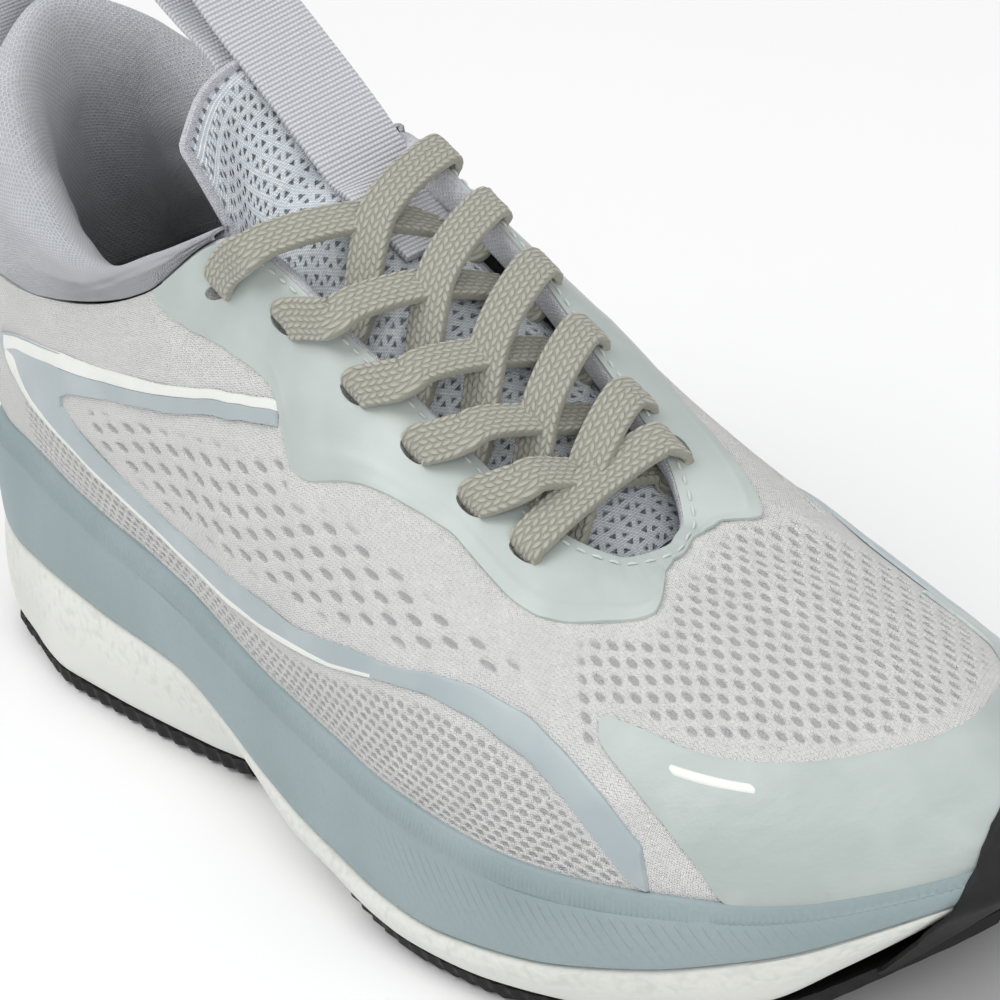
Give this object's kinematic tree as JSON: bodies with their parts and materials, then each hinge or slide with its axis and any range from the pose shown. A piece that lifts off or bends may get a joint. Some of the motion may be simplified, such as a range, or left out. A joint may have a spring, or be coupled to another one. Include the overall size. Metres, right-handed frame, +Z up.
{
  "type": "running shoe",
  "caption": "Laced low-cut running shoe for the right foot, with a knit upper, padded collar, cushioned two-tone midsole and rubber outsole that flexes at the ball.",
  "frame": {"origin": "on the ground, under the centre of the bounding box", "axes": "+X towards the toe, +Y towards the medial side of this right shoe, +Z up"},
  "size_m": [0.3082, 0.108, 0.1595],
  "materials": {
    "foam": "matte foam",
    "carrier": "satin foam",
    "outsole": "satin",
    "board": "matte",
    "knit": "matte knit",
    "lining": "matte mesh",
    "film": "satin film",
    "stripe": "satin film",
    "trim": "satin film",
    "tongue": "matte mesh",
    "webbing": "matte webbing",
    "lace": "matte braid",
    "aglet": "glossy",
    "stiffener": "matte"
  },
  "bodies": {
    "shoe": {"midsole_foam_rear": "foam", "midsole_carrier_rear": "carrier", "outsole_heel_lateral": "outsole", "outsole_heel_medial": "outsole", "outsole_forefoot_rear": "outsole", "strobel_board_rear": "board", "sockliner_rear": "lining", "knit_quarters": "knit", "knit_vamp_flex": "knit", "lining_quarters": "lining", "lining_vamp_flex": "lining", "heel_counter": "stiffener", "eyestay_backing_lateral": "stiffener", "eyestay_backing_medial": "stiffener", "eyestay_overlay": "film", "throat_binding_lateral": "trim", "throat_binding_medial": "trim", "lateral_stripe_lower_arm": "stripe", "lateral_stripe_lower_trim": "trim", "lateral_stripe_upper_arm": "stripe", "lateral_stripe_upper_trim": "trim", "lateral_stripe_front_arm": "stripe", "medial_stripe": "stripe", "collar_lining": "lining", "collar_foam": "foam", "tongue_face": "tongue", "tongue_foam": "foam", "tongue_lining": "lining", "lace_keeper": "webbing", "lace": "lace", "aglet_lateral": "aglet", "aglet_medial": "aglet"},
    "forefoot": {"midsole_foam_front": "foam", "midsole_carrier_front": "carrier", "outsole_forefoot_front": "outsole", "toe_bumper": "outsole", "strobel_board_front": "board", "sockliner_front": "lining", "knit_vamp_front": "knit", "lining_vamp_front": "lining", "toe_puff": "stiffener", "toe_overlay": "film", "toe_print_bar": "trim"},
    "tongue_top": {"tongue_top": "tongue", "tongue_pull_loop": "webbing"},
    "heel_tab": {"heel_pull_tab": "webbing"}
  },
  "joints": [
    {"name": "forefoot_flex", "type": "hinge", "parent": "shoe", "child": "forefoot", "pos_m": [0.0627, 0.0018, 0.033], "axis": [0, -1, 0], "range_deg": [0, 30], "stiffness_Nm_per_rad": 6, "deforming": ["knit_vamp_flex", "lining_vamp_flex", "lateral_stripe_front_arm"]},
    {"name": "tongue_top_tilt", "type": "hinge", "parent": "shoe", "child": "tongue_top", "pos_m": [-0.0383, 0.0028, 0.1035], "axis": [0, 1, 0], "range_deg": [-8, 10], "stiffness_Nm_per_rad": 0.1},
    {"name": "heel_tab_fold", "type": "hinge", "parent": "shoe", "child": "heel_tab", "pos_m": [-0.1515, 0.0018, 0.093], "axis": [0, -1, 0], "range_deg": [0, 60], "stiffness_Nm_per_rad": 0.05}
  ]
}
